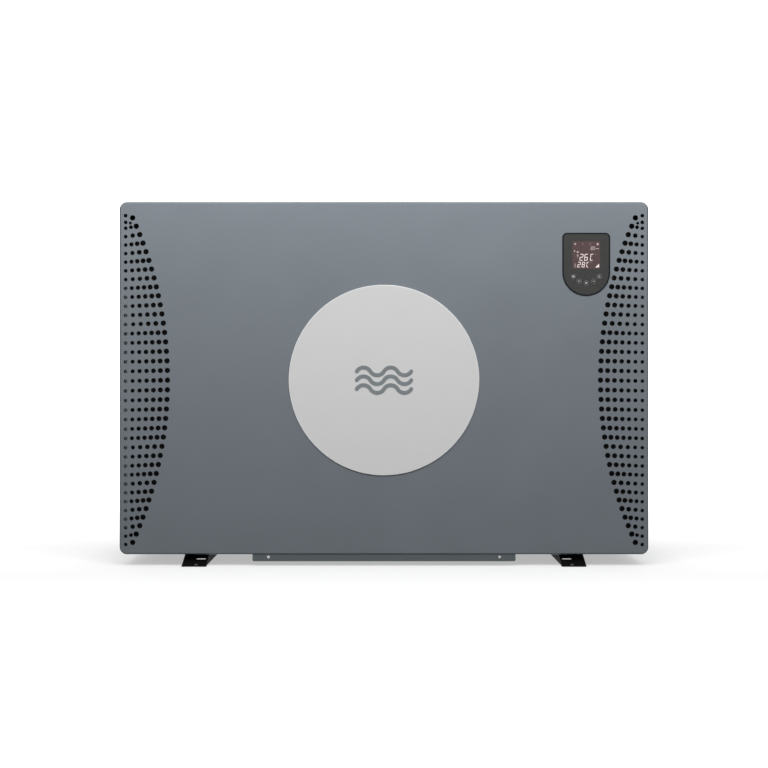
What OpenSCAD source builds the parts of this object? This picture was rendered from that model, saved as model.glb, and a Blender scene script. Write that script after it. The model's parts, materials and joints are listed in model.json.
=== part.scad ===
// Pool heat pump unit: cabinet, fan, refrigerant circuit, water heat exchanger and controller.
// X runs to the right of the front panel, Y from the front to the back, Z up.
// The origin is on the ground, in the middle of the whole unit's footprint.

/* [Cabinet] */
// Width of the front panel
cab_w = 962; // [940:1:990]
// Depth of the cabinet, from the front panel's face to the rear
cab_d = 350; // [350:1:380]
// Height of the top of the cabinet above the ground
cab_top = 662; // [658:1:680]
// Height of the front panel's lower edge above the ground
cab_bottom = 21; // [21:0.5:22]
// Corner radius of the front panel
panel_corner = 13; // [10:0.5:16]
// Rounding of the front panel's edge
panel_edge = 3; // [2.5:0.1:4]
// Depth of the front panel's turned-in sides
panel_return = 40; // [30:1:45]
// Thickness of the front panel's sheet
panel_t = 2; // [1.5:0.1:2]
// Thickness of the other cabinet sheets
sheet_t = 1.5; // [1.2:0.1:1.5]

/* [Perforations] */
// Rows of holes above and below the middle row
rows_half = 18; // [12:1:18]
// Distance from the panel's side edge to the outer column of holes
hole_margin = 11.2; // [10:0.1:13]
// Distance from the panel's side edge to the innermost hole of the middle row
hole_reach = 87.2; // [80:0.1:95]
// Radius of the arc that the innermost holes follow
hole_arc_r = 719; // [700:1:760]
// Distance between the rows at the middle
row_pitch = 17.7; // [16.5:0.1:17.7]
// How much closer the rows come towards the top and the bottom
row_tighten = 0.0724; // [0.0724:0.0001:0.08]
// Aim for the distance between holes in a row
hole_pitch = 12.9; // [12.5:0.1:14]
// Diameter of the outermost holes
hole_d_outer = 6.8; // [5:0.1:7]
// Diameter of the innermost holes
hole_d_inner = 9.9; // [8:0.1:10]

/* [Badge disc] */
// Radius of the disc
disc_r = 173.2; // [150:0.1:180]
// Height of the disc's centre above the ground
disc_z = 338; // [330:1:345]
// How far the disc stands off the panel
disc_t = 3; // [2:0.1:4]
// Thickness of the mark on the disc
mark_t = 0.6; // [0.4:0.1:1]
// Width of the mark
mark_w = 106; // [90:1:120]

/* [Controller] */
// Distance of the controller's centre to the right of the middle
ctl_x = 367.7; // [360:0.1:370]
// Half of the controller's width
ctl_r = 43.5; // [43.5:0.1:46]
// Height of the centre of its round lower end
ctl_arc_z = 534.5; // [530:0.5:540]
// Height of its flat top
ctl_top = 606; // [606:0.5:612]
// Side of the display window
window_w = 50.4; // [48:0.1:52]
// Diameter of a key
key_d = 9.3; // [8:0.1:9.8]
// Key travel
key_travel = 0.8; // [0.5:0.1:0.9]

/* [Feet] */
// Width of a foot rail
foot_w = 44.4; // [40:0.1:48]
// Distance of a foot rail's middle from the unit's middle
foot_x = 344.4; // [340:0.1:350]
// How far the toes reach in front of the cabinet and behind it
foot_out = 14; // [10:1:18]
// Depth of the sloped toe
toe_d = 68.4; // [60:0.1:70]
// Thickness of the rubber pads
pad_t = 1.5; // [1:0.5:3]
// Length of an anchor slot
slot_l = 20; // [14:1:22]
// Width of an anchor slot
slot_w = 10; // [8:1:10]

/* [Water side] */
// Radius of the pipe that the unions take
pipe_r = 25; // [24:0.5:25]
// Distance of the unions to the right of the middle
union_x = 395; // [390:1:396]
// Height of the inlet
inlet_z = 125; // [120:1:140]
// Height of the outlet
outlet_z = 385; // [370:1:388]
// How far the unions reach behind the cabinet
union_reach = 52; // [52:1:60]

/* [Fan] */
// Radius of the fan
fan_r = 215; // [200:1:216]
// Number of blades
blades = 3; // [2:1:5]
// Depth of the air space behind the front panel
plenum_d = 60; // [58:1:64]

/* [Hidden] */
$fn = 48;

half_w = cab_w / 2;
front_y = -(foot_out + cab_d + union_reach) / 2;
face_y = front_y + foot_out;
rear_y = face_y + cab_d;
side_y = face_y + panel_return + 0.5;
side_x = half_w - 1.9;
cover_skirt = 30;
side_top = cab_top - cover_skirt - 2.4;
rear_split_x = 228;
deck_y = face_y + plenum_d;
partition_x = 233;
fan_y = deck_y + 14;
rim_h = 20;
pan_x = side_x - sheet_t - 0.2;
running = 0.08;
gap = 0.3;

steel_grey = [0.42, 0.45, 0.48];
dark_sheet = [0.31, 0.33, 0.35];
black_paint = [0.06, 0.06, 0.06];
pale_grey = [0.8, 0.8, 0.8];
galvanised = [0.66, 0.68, 0.7];
copper = [0.78, 0.46, 0.3];
black_plastic = [0.1, 0.11, 0.12];
rubber_black = [0.05, 0.05, 0.05];
pool_white = [0.86, 0.87, 0.87];

// A plane outline (x, z) as a plate from y0, t thick towards the back.
module wall_xz(y0, t) {
    translate([0, y0 + t, 0]) rotate([90, 0, 0]) linear_extrude(t) children();
}

// A plane outline (y, z) as a plate from x0, t thick towards +X.
module wall_yz(x0, t) {
    translate([x0, 0, 0]) rotate([90, 0, 90]) linear_extrude(t) children();
}

// A box given by its low and high corners.
module block(low, high) {
    translate(low) cube(high - low);
}

module rod_y(x, z, y0, y1, r) {
    translate([x, y0, z]) rotate([-90, 0, 0]) cylinder(h = y1 - y0, r = r);
}

module rod_x(y, z, x0, x1, r) {
    translate([x0, y, z]) rotate([0, 90, 0]) cylinder(h = x1 - x0, r = r);
}

module rod_z(x, y, z0, z1, r) {
    translate([x, y, z0]) cylinder(h = z1 - z0, r = r);
}

// A rectangle from low to high with round corners.
module round_rect(low, high, r) {
    translate([low[0] + r, low[1]]) square([high[0] - low[0] - 2 * r, high[1] - low[1]]);
    translate([low[0], low[1] + r]) square([high[0] - low[0], high[1] - low[1] - 2 * r]);
    for (x = [low[0] + r, high[0] - r], y = [low[1] + r, high[1] - r])
        translate([x, y]) circle(r = r);
}

// A slot with round ends, centred, along the first axis.
module stadium(length, width) {
    square([length - width, width], center = true);
    for (side = [-1, 1]) translate([side * (length - width) / 2, 0]) circle(d = width);
}

// ---- Pipes: straight runs with quarter bends, from points that turn along the axes ----

function unit(v) = v / norm(v);

module pipe_straight(a, b, r) {
    d = b - a;
    translate(a)
        if (abs(d[0]) > 0.01) rotate([0, d[0] > 0 ? 90 : -90, 0]) cylinder(h = norm(d), r = r);
        else if (abs(d[1]) > 0.01) rotate([d[1] > 0 ? -90 : 90, 0, 0]) cylinder(h = norm(d), r = r);
        else rotate([d[2] > 0 ? 0 : 180, 0, 0]) cylinder(h = norm(d), r = r);
}

// A quarter bend at corner c that comes in along u and leaves along v.
module pipe_bend(c, u, v, r, bend) {
    w = cross(u, v);
    centre = c - bend * u + bend * v;
    multmatrix([
        [-v[0], u[0], -w[0], centre[0]],
        [-v[1], u[1], -w[1], centre[1]],
        [-v[2], u[2], -w[2], centre[2]],
        [0, 0, 0, 1]
    ])
        rotate_extrude(angle = 90) translate([bend, 0]) circle(r = r);
}

module pipe(points, r, bend) {
    last = len(points) - 1;
    for (i = [0:last - 1]) {
        d = unit(points[i + 1] - points[i]);
        start = points[i] + (i > 0 ? bend : 0) * d;
        end = points[i + 1] - (i < last - 1 ? bend : 0) * d;
        if (norm(end - start) > 0.01) pipe_straight(start, end, r);
    }
    for (i = [1:last - 1])
        pipe_bend(points[i], unit(points[i] - points[i - 1]), unit(points[i + 1] - points[i]), r, bend);
}

// ---- Front panel ----

// Rows are counted from -rows_half at the top to rows_half at the bottom.
function row_drop(k) = sign(k) * (row_pitch * abs(k) - row_tighten * k * k);
function row_reach(k) = hole_reach - (hole_arc_r - sqrt(pow(hole_arc_r, 2) - pow(row_drop(k), 2)));
function row_lean(k) = k == -rows_half ? -4 : 1.7 + 2.2 * abs(k) / rows_half;
function row_gaps(k) =
    max(1, floor((row_reach(k) - hole_margin) / hole_pitch + 0.75) - (k == -6 ? 1 : 0));
// The growth of the holes along a row; the middle one of the last row but one stays small.
function hole_d(k, share) =
    hole_d_outer + (hole_d_inner - hole_d_outer) * pow(share, abs(k) == rows_half - 1 ? 4 : 1);

module row_holes(k) {
    gaps = row_gaps(k);
    for (j = [0:gaps]) {
        share = j / gaps;
        reach = hole_margin + (row_reach(k) - hole_margin) * share;
        drop = row_drop(k) + row_lean(k) * (1 - share);
        translate([half_w - reach, disc_z - drop]) circle(d = hole_d(k, share));
    }
}

// Two small holes that fill the gap under the short top row.
module filler_holes() {
    translate([half_w - hole_margin, disc_z + 286.9]) circle(d = hole_d_outer + 0.1);
    translate([half_w - hole_margin - 8.5, disc_z + 285.6]) circle(d = hole_d_outer - 1.4);
}

module perforations() {
    for (side = [0, 1]) mirror([side, 0]) {
        for (k = [-rows_half:rows_half]) row_holes(k);
        filler_holes();
    }
}

clip_ring_r = 140;
clip_r = 3;

module at_disc_clips() {
    for (a = [45:90:315])
        translate([clip_ring_r * cos(a), disc_z + clip_ring_r * sin(a)]) children();
}

// The wall of the tray: its rounded edge and the turned-in side, as (distance in, depth).
module tray_profile() {
    difference() {
        translate([-panel_edge, panel_edge]) circle(r = panel_edge);
        translate([-panel_edge, panel_edge]) circle(r = panel_edge - panel_t);
        translate([-2 * panel_edge - 1, -1]) square([panel_edge + 1, 2 * panel_edge + 2]);
        translate([-panel_edge, panel_edge]) square([2 * panel_edge, 2 * panel_edge]);
    }
    translate([-panel_t, panel_edge]) square([panel_t, panel_return - panel_edge]);
}

module tray_side(length) {
    rotate([90, 0, 90]) linear_extrude(length) tray_profile();
}

strip_half_w = 239.4;
strip_bottom = 8.4;
tab_x = 210.4;
tab_w = 30;
tab_y = face_y + 3.6;
screw_z = 15.9;

module front_panel() color(steel_grey) {
    wall_xz(face_y, panel_t) difference() {
        round_rect([-half_w + panel_edge, cab_bottom + panel_edge],
                   [half_w - panel_edge, cab_top - panel_edge], panel_corner - panel_edge);
        perforations();
        shield(1.5);
        at_disc_clips() circle(r = clip_r);
    }
    run_x = cab_w - 2 * panel_corner;
    run_z = cab_top - cab_bottom - 2 * panel_corner;
    mid_z = (cab_top + cab_bottom) / 2;
    for (side = [-1, 1]) {
        translate([0, 0, mid_z]) scale([1, 1, side])
            translate([-run_x / 2, face_y, (cab_top - cab_bottom) / 2])
                multmatrix([[1, 0, 0, 0], [0, 0, 1, 0], [0, 1, 0, 0]]) tray_side(run_x);
        translate([0, 0, mid_z]) scale([side, 1, 1])
            translate([half_w, face_y, -run_z / 2])
                linear_extrude(run_z) tray_profile();
    }
    for (sx = [-1, 1], sz = [-1, 1])
        translate([0, 0, mid_z]) scale([sx, 1, sz])
            translate([half_w - panel_corner, face_y, (cab_top - cab_bottom) / 2 - panel_corner])
                rotate([-90, 0, 0]) scale([1, -1, 1])
                    rotate_extrude(angle = 90) translate([panel_corner, 0]) tray_profile();
    for (side = [-1, 1]) difference() {
        block([side * tab_x - tab_w / 2, tab_y, strip_bottom + 1.6],
              [side * tab_x + tab_w / 2, tab_y + sheet_t, cab_bottom + panel_t / 2]);
        rod_y(side * tab_x, screw_z, tab_y - 1, tab_y + sheet_t + 1, strip_screw_r);
    }
}

module badge_disc() color(pale_grey) {
    edge = 0.8;
    translate([0, face_y, disc_z]) rotate([90, 0, 0]) rotate_extrude($fn = 180) {
        square([disc_r, disc_t - edge]);
        square([disc_r - edge, disc_t]);
        translate([disc_r - edge, disc_t - edge]) intersection() {
            circle(r = edge);
            square(edge);
        }
    }
    wall_xz(face_y, panel_t + 3) at_disc_clips() circle(r = clip_r);
    wall_xz(face_y + panel_t, 1.5) at_disc_clips() circle(r = clip_r + 1.5);
}

wave_lift = 7;
wave_line = 7;

// One wave line with round ends: arcs that swing up and down in turn, each cut from a ring
// along the two radii where it runs into its neighbours.
module wave(periods) {
    swing = (mark_w - wave_line) / (2 * periods);
    arc_r = (swing * swing / 4 + wave_lift * wave_lift) / (2 * wave_lift);
    below = arc_r - wave_lift;
    for (i = [0:2 * periods - 1])
        translate([swing * (i + 0.5 - periods), 0]) mirror([0, i % 2]) intersection() {
            translate([0, -below]) difference() {
                circle(r = arc_r + wave_line / 2);
                circle(r = arc_r - wave_line / 2);
            }
            polygon([[0, -below], [2.5 * swing, 4 * below], [-2.5 * swing, 4 * below]]);
        }
    for (side = [-1, 1]) translate([side * swing * periods, 0]) circle(d = wave_line);
}

module wave_mark() color(steel_grey)
    wall_xz(face_y - disc_t - mark_t, mark_t)
        for (row = [-1, 0, 1]) translate([0, disc_z + row * 16]) wave(2);

// ---- Strip under the front panel ----

strip_screw_r = 1.6;
strip_y = face_y + 2;

module front_strip() color(dark_sheet) {
    corner = 3;
    wall_xz(strip_y, 1.6) difference() {
        union() {
            round_rect([-strip_half_w, strip_bottom], [strip_half_w, cab_bottom], corner);
            translate([-strip_half_w, strip_bottom + corner])
                square([2 * strip_half_w, cab_bottom - strip_bottom - corner]);
        }
        for (side = [-1, 1]) translate([side * tab_x, screw_z]) circle(r = strip_screw_r);
    }
    difference() {
        block([-strip_half_w, strip_y + 1, cab_bottom - 1.6], [strip_half_w, deck_y, cab_bottom]);
        for (side = [-1, 1])
            block([side * tab_x - tab_w / 2 - gap, strip_y + 1.6, cab_bottom - 3],
                  [side * tab_x + tab_w / 2 + gap, tab_y + sheet_t + gap, cab_bottom + 1]);
    }
}

module strip_screws() color(galvanised)
    for (side = [-1, 1]) translate([side * tab_x, strip_y, screw_z]) {
        difference() {
            rotate([90, 0, 0]) cylinder(h = 1.6, r1 = 2.7, r2 = 2.1);
            rotate([0, 45, 0]) for (turn = [0, 90]) rotate([0, turn, 0])
                translate([-1.4, -2, -0.25]) cube([2.8, 1.2, 0.5]);
        }
        rotate([-90, 0, 0]) cylinder(h = 7, r = strip_screw_r);
    }

// ---- Cabinet ----

side_screw_y = [side_y + 14, 10, rear_y - 18];
low_screw_z = cab_bottom + panel_t + 10;
high_screw_z = side_top - 12;
skirt_screw_z = side_top + 14;
rear_screw_z = [low_screw_z, 330, side_top - 12];
grille_screw_x = [-side_x + 10, rear_split_x - 10];
service_screw_x = [rear_split_x + 10, side_x - 12];
cover_screw_x = [-400, -130, 130, 400];
screw_r = 1.8;

module screw(length) {
    cylinder(h = length, r = screw_r);
    translate([0, 0, -1.6]) difference() {
        cylinder(h = 1.6, r1 = 3.2, r2 = 4);
        translate([-2, -0.4, -1]) cube([4, 0.8, 2]);
        translate([-0.4, -2, -1]) cube([0.8, 4, 2]);
    }
}

// Places its children at the screws in both sides, with +Z pointing into the cabinet.
module at_side_screws() {
    for (side = [0, 1]) mirror([side, 0, 0]) {
        for (y = side_screw_y, z = [low_screw_z, high_screw_z, skirt_screw_z])
            translate([side_x, y, z]) rotate([0, -90, 0]) children();
    }
}

module at_rear_screws() {
    for (x = concat(grille_screw_x, service_screw_x), z = rear_screw_z)
        translate([x, rear_y, z]) rotate([90, 0, 0]) children();
    for (x = cover_screw_x)
        translate([x, rear_y, skirt_screw_z]) rotate([90, 0, 0]) children();
}

module screw_bores() {
    at_side_screws() translate([0, 0, -1]) cylinder(h = 8, r = screw_r);
    at_rear_screws() translate([0, 0, -1]) cylinder(h = 10, r = screw_r);
}

module cabinet_screws() color(galvanised) {
    at_side_screws() screw(5);
    at_rear_screws() screw(6);
}

module top_cover() color(steel_grey) {
    field_h = 1;
    z0 = cab_top - 1 - sheet_t;
    difference() {
        union() {
            block([-side_x, side_y, side_top + gap], [side_x, rear_y, cab_top - field_h]);
            for (side = [-1, 1]) translate([side * 235, (side_y + rear_y) / 2, z0 + 0.5])
                linear_extrude(cab_top - z0 - 0.5) round_rect([-205, -125], [205, 125], 30);
        }
        block([-side_x + sheet_t, side_y - 1, side_top - 1], [side_x - sheet_t, rear_y - sheet_t, z0]);
        for (side = [-1, 1]) translate([side * 235, (side_y + rear_y) / 2, z0 - 1])
            linear_extrude(field_h + 1) round_rect([-203.5, -123.5], [203.5, 123.5], 28.5);
        screw_bores();
    }
}

handle_centre = [deck_y + 23, 560];
handle_half = [16, 48];
handle_depth = 26;

module handle_hole(inset) {
    half = handle_half - [inset, inset];
    round_rect(handle_centre - half, handle_centre + half, 4 - inset / 2);
}

slot_rows = 30;
slot_columns = 3;

// Intake slots of the left side.
module intake_slots() {
    for (row = [0:slot_rows - 1], column = [0:slot_columns - 1])
        translate([deck_y + 77 + 78 * column, 70 + 15 * row]) stadium(64, 7);
}

module side_sheet() {
    translate([side_y, cab_bottom + panel_t + gap])
        square([rear_y - side_y, side_top - cab_bottom - panel_t - gap]);
}

module left_side_panel() color(steel_grey) difference() {
    union() {
        wall_yz(-side_x, sheet_t) difference() {
            side_sheet();
            intake_slots();
            handle_hole(0);
        }
        block([-side_x, rear_y - sheet_t, cab_bottom + panel_t + gap],
              [-side_x + 5, rear_y, side_top]);
    }
    screw_bores();
}

terminal_low = [20, 470];
terminal_high = [130, 600];

module right_side_panel() color(steel_grey) difference() {
    union() {
        wall_yz(side_x - sheet_t, sheet_t) difference() {
            side_sheet();
            handle_hole(0);
            translate(terminal_low + [12, 12]) square(terminal_high - terminal_low - [24, 24]);
        }
        block([side_x - 5, rear_y - sheet_t, cab_bottom + panel_t + gap], [side_x, rear_y, side_top]);
    }
    screw_bores();
}

// Cover of the mains terminals, with a raised field and two screws.
module terminal_cover() color(steel_grey) {
    wall_yz(side_x, 0.8) round_rect(terminal_low, terminal_high, 5);
    wall_yz(side_x + 0.8, 0.5) round_rect(terminal_low + [9, 16], terminal_high - [9, 16], 4);
    for (z = [terminal_low[1] + 8, terminal_high[1] - 8])
        rod_x((terminal_low[0] + terminal_high[0]) / 2, z, side_x + 0.8, side_x + 1.9, 3.2);
}

// Recessed plastic hand grips, one in each side.
module side_handles() color(black_plastic)
    for (side = [0, 1]) mirror([side, 0, 0]) {
        wall_yz(side_x, 1.6) difference() {
            handle_hole(-6);
            handle_hole(2);
        }
        wall_yz(side_x - handle_depth, handle_depth) difference() {
            handle_hole(0);
            handle_hole(2);
        }
        wall_yz(side_x - handle_depth - 2, 2) handle_hole(0);
    }

grille_pitch = 34;
grille_bar = 4;
grille_low = [-side_x + 5 + gap, cab_bottom + panel_t + gap];
grille_high = [rear_split_x - gap, side_top];

module rear_grille() color(dark_sheet) difference() {
    wall_xz(rear_y - 3, 3) difference() {
        translate(grille_low) square(grille_high - grille_low);
        columns = floor((grille_high[0] - grille_low[0] - 36) / grille_pitch);
        rows = floor((grille_high[1] - grille_low[1] - 36) / grille_pitch);
        left = (grille_low[0] + grille_high[0] - columns * grille_pitch) / 2;
        bottom = (grille_low[1] + grille_high[1] - rows * grille_pitch) / 2;
        for (column = [0:columns - 1], row = [0:rows - 1])
            translate([left + column * grille_pitch + grille_bar / 2,
                       bottom + row * grille_pitch + grille_bar / 2])
                square(grille_pitch - grille_bar);
    }
    screw_bores();
}

gland_x = [290, 345];
gland_z = 575;
gland_r = 12;
collar_r = 34;

module rear_service_panel() color(steel_grey) difference() {
    wall_xz(rear_y - sheet_t, sheet_t) difference() {
        translate([rear_split_x, cab_bottom + panel_t + gap])
            square([side_x - 5 - gap - rear_split_x, side_top - cab_bottom - panel_t - gap]);
        for (z = [inlet_z, outlet_z]) translate([union_x, z]) circle(r = collar_r + 1.5);
        for (x = gland_x) translate([x, gland_z]) circle(r = gland_r);
        // Vent slots over the machine side
        for (row = [0:4]) translate([350, 480 + row * 12]) stadium(130, 5);
    }
    screw_bores();
}

module corner_post() color(galvanised) difference() {
    union() {
        block([-pan_x, rear_y - 36, cab_bottom + rim_h], [-pan_x + sheet_t, rear_y - 3, side_top + 20]);
        block([-pan_x, rear_y - 3 - sheet_t, cab_bottom + rim_h], [-pan_x + 30, rear_y - 3, side_top + 20]);
    }
    screw_bores();
}

drain_x = -120;
drain_y = 70;

module base_pan() color(galvanised) difference() {
    z0 = cab_bottom;
    low_y = side_y + 1;
    high_y = rear_y - 5;
    union() {
        difference() {
            block([-pan_x, low_y, z0], [pan_x, high_y, z0 + rim_h]);
            block([-pan_x + sheet_t, low_y + sheet_t, z0 + panel_t],
                  [pan_x - sheet_t, high_y - sheet_t, z0 + rim_h + 1]);
        }
        // Stiffening beads across the floor
        for (x = [-180, 0, 180])
            block([x - 6, low_y + 20, z0 + panel_t], [x + 6, high_y - 70, z0 + panel_t + 2]);
    }
    rod_z(drain_x, drain_y, z0 - 1, z0 + 5, 6);
    at_foot_bolts() translate([0, 0, z0 - 1]) cylinder(h = 5, r = bolt_r);
    screw_bores();
}

// Spigot that lets condensate out of the base pan.
module drain_nozzle() color(black_plastic) difference() {
    union() {
        rod_z(drain_x, drain_y, 4, cab_bottom, 9);
        rod_z(drain_x, drain_y, cab_bottom - 2, cab_bottom, 14);
        rod_z(drain_x, drain_y, cab_bottom - 1, cab_bottom + panel_t, 6);
    }
    rod_z(drain_x, drain_y, 0, cab_bottom + panel_t + 1, 4.5);
}

// ---- Feet ----

rail_t = 2;
bolt_r = 4;
slot_x = foot_x - foot_w / 2 + rail_t + gap + slot_l / 2;
slot_in = 22;
bolt_in = 75;
toe_back = rear_y + foot_out;

module at_foot_bolts() {
    for (side = [-1, 1], y = [face_y + bolt_in, rear_y - bolt_in])
        translate([side * foot_x, y, 0]) children();
}

// A channel open below, with sloped toes at the front and the back.
module foot_rail() {
    difference() {
        wall_yz(foot_x - foot_w / 2, foot_w)
            polygon([[front_y, pad_t], [front_y + toe_d, cab_bottom],
                     [toe_back - toe_d, cab_bottom], [toe_back, pad_t]]);
        wall_yz(foot_x - foot_w / 2 + rail_t, foot_w - 2 * rail_t)
            polygon([[front_y + 8, pad_t - 1], [front_y + 8, pad_t],
                     [front_y + toe_d + 1, cab_bottom - rail_t],
                     [toe_back - toe_d - 1, cab_bottom - rail_t], [toe_back - 8, pad_t],
                     [toe_back - 8, pad_t - 1]]);
        for (y = [face_y + slot_in, rear_y - slot_in])
            translate([slot_x, y, 0]) linear_extrude(cab_bottom) stadium(slot_l, slot_w);
        for (y = [face_y + bolt_in, rear_y - bolt_in])
            rod_z(foot_x, y, 0, cab_bottom + 1, bolt_r);
    }
}

module foot_rail_right() color(black_paint) foot_rail();
module foot_rail_left() color(black_paint) mirror([1, 0, 0]) foot_rail();

module foot_pads() color(rubber_black)
    for (side = [-1, 1], y = [front_y, toe_back - 16])
        block([side * foot_x - foot_w / 2, y, 0], [side * foot_x + foot_w / 2, y + 16, pad_t]);

module foot_bolts() color(galvanised) at_foot_bolts() {
    translate([0, 0, cab_bottom - rail_t - 5]) cylinder(h = 5, r = 7, $fn = 6);
    translate([0, 0, cab_bottom - rail_t]) cylinder(h = rail_t + panel_t, r = bolt_r);
    translate([0, 0, cab_bottom + panel_t]) cylinder(h = 6, r = 7, $fn = 6);
}

// ---- Inner walls ----

sink_window = [[-60, 525], [80, 625]];
coil_back = rear_y - 14;
coil_t = 40;
gas_line = [coil_back - coil_t / 2, 364];
liquid_line = [coil_back - coil_t / 2, 300];

module partition_plate() color(galvanised)
    wall_yz(partition_x, sheet_t) difference() {
        translate([deck_y + 2 * sheet_t, cab_bottom + panel_t + 2])
            square([rear_y - 7 - deck_y - 2 * sheet_t, side_top + 18 - cab_bottom - panel_t]);
        translate(sink_window[0]) square(sink_window[1] - sink_window[0]);
        for (line = [gas_line, liquid_line]) translate(line) circle(r = 9);
    }

orifice_r = fan_r + 9;
bell_r = 8;
bell_d = 40;

module fan_deck() color(black_paint) {
    wall_xz(deck_y, sheet_t) difference() {
        translate([-pan_x + 2 * sheet_t, cab_bottom + panel_t])
            square([2 * pan_x - 4 * sheet_t, side_top + 20 - cab_bottom - panel_t]);
        translate([0, disc_z]) circle(r = orifice_r + bell_r, $fn = 120);
    }
    // Bellmouth: a quarter-round lip and a straight shroud
    translate([0, deck_y, disc_z]) rotate([-90, 0, 0]) rotate_extrude($fn = 120) {
        translate([orifice_r + bell_r, bell_r]) difference() {
            circle(r = bell_r);
            circle(r = bell_r - sheet_t);
            translate([-bell_r - 1, 0]) square([2 * bell_r + 2, bell_r + 1]);
            translate([0, -bell_r - 1]) square([bell_r + 1, 2 * bell_r + 2]);
        }
        translate([orifice_r, bell_r]) square([sheet_t, bell_d - bell_r]);
    }
}

// ---- Controller ----

ctl_corner = 8.5;
bezel_w = 2.5;
bezel_proud = 1.4;
face_proud = 1;
face_back_y = face_y + 1;
housing_d = 26;
board_y = face_y + 9;

// Outline with a flat top, round top corners and a half-round lower end, made smaller by inset.
module shield(inset) {
    r = ctl_r - inset;
    corner = max(ctl_corner - inset, 1);
    top = ctl_top - inset;
    translate([ctl_x, ctl_arc_z]) circle(r = r, $fn = 96);
    translate([ctl_x - r, ctl_arc_z]) square([2 * r, top - corner - ctl_arc_z]);
    translate([ctl_x - r + corner, ctl_arc_z]) square([2 * r - 2 * corner, top - ctl_arc_z]);
    for (side = [-1, 1])
        translate([ctl_x + side * (r - corner), top - corner]) circle(r = corner);
}

module control_bezel() color(black_plastic) {
    wall_xz(face_y - bezel_proud, bezel_proud) difference() {
        shield(0);
        shield(bezel_w);
    }
    wall_xz(face_y, panel_t) difference() {
        shield(1.5);
        shield(bezel_w);
    }
}

window_low = [ctl_x - window_w / 2, 540.2];

module window_outline(inset) {
    translate(window_low + [inset, inset]) square(window_w - 2 * inset);
}

key_arc_r = 29.5;
key_arc_z = 544.4;
key_angle = 26.3;

function key_place(i) = [ctl_x + key_arc_r * sin((i - 3) * key_angle),
                         key_arc_z - key_arc_r * cos((i - 3) * key_angle)];

module control_face() color([0.26, 0.26, 0.26])
    wall_xz(face_y - face_proud, face_proud + 1) difference() {
        shield(bezel_w);
        window_outline(0);
        for (i = [1:5]) translate(key_place(i)) circle(d = key_d + 0.3);
    }

module control_housing() color(black_plastic) {
    wall_xz(face_back_y, housing_d) difference() {
        shield(bezel_w);
        shield(bezel_w + 2);
    }
    wall_xz(face_back_y + housing_d, 2) shield(bezel_w);
    // Flange that clamps the panel from behind
    wall_xz(face_y + panel_t, 2) difference() {
        shield(-6);
        shield(bezel_w);
    }
}

module display_module() color([0.35, 0.29, 0.3]) {
    wall_xz(face_y - face_proud, 3) window_outline(0);
    wall_xz(face_y - face_proud + 3, 5) window_outline(1);
}

module control_board() color([0.1, 0.32, 0.2]) {
    wall_xz(board_y, 1.6) shield(bezel_w + 2.4);
    // Push switches under the keys, and the plug socket behind
    wall_xz(board_y - 1.7, 1.7) for (i = [1:5])
        translate(key_place(i)) circle(r = 1.8);
    wall_xz(board_y + 1.6, 8) translate([ctl_x - 10, ctl_arc_z + 10]) square([20, 8]);
}

// A key cap with a hidden collar that stops it falling out, and a plunger.
module key(i) color(black_plastic) {
    wall_xz(face_y - face_proud - 0.4, face_proud + 1.4 + gap)
        translate(key_place(i)) circle(d = key_d);
    wall_xz(face_back_y + gap, 1) translate(key_place(i)) circle(d = key_d + 2);
    wall_xz(face_back_y + gap + 1, board_y - 1.7 - key_travel - 0.2 - (face_back_y + gap + 1))
        translate(key_place(i)) circle(r = 1.5);
}

// ---- Fan ----

hub_r = 58;
hub_d = 58;
shaft_r = 6;
motor_y = fan_y + hub_d + 22;
motor_r = 62;
motor_d = 60;
camber_r = 240;

// One blade: a bent sheet, trimmed to its swept outline.
module blade() {
    intersection() {
        rotate([90, 0, 0]) translate([0, 0, -hub_d - 40]) linear_extrude(hub_d + 80) difference() {
            intersection() {
                circle(r = fan_r, $fn = 120);
                translate([0, -115]) square([fan_r + 5, 230]);
                translate([60, 60]) circle(r = 190);
            }
            circle(r = hub_r - 4);
            translate([105, -200]) circle(r = 130);
        }
        rotate([28, 0, 0]) translate([0, camber_r + 2, 0]) rotate([0, 90, 0])
            difference() {
                cylinder(h = fan_r + 10, r = camber_r + 2, $fn = 160);
                translate([0, 0, -1]) cylinder(h = fan_r + 12, r = camber_r - 1, $fn = 160);
            }
    }
}

module fan_blades() color(black_plastic) translate([0, fan_y, disc_z]) difference() {
    union() {
        rotate([-90, 0, 0]) rotate_extrude() {
            square([hub_r - 10, 4]);
            translate([0, 10]) square([hub_r, hub_d - 10]);
            translate([0, 4]) square([hub_r - 10, 10]);
            translate([hub_r - 10, 10]) circle(r = 10);
        }
        for (i = [0:blades - 1]) rotate([0, i * 360 / blades, 0])
            translate([0, hub_d / 2 - 4, 0]) blade();
    }
    rotate([-90, 0, 0]) translate([0, 0, -5]) cylinder(h = hub_d + 60, r = shaft_r);
    rotate([-90, 0, 0]) translate([0, 0, 14]) difference() {
        cylinder(h = hub_d, r = hub_r - 5);
        translate([0, 0, -1]) cylinder(h = hub_d + 2, r = 16);
    }
}

module fan_nut() color(galvanised)
    translate([0, fan_y - 7, disc_z]) rotate([-90, 0, 0]) difference() {
        cylinder(h = 7, r = 9.5, $fn = 6);
        translate([0, 0, -1]) cylinder(h = 9, r = shaft_r);
    }

module motor_shaft() color(galvanised) rod_y(0, disc_z, fan_y - 9, motor_y + 45, shaft_r);

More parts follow.
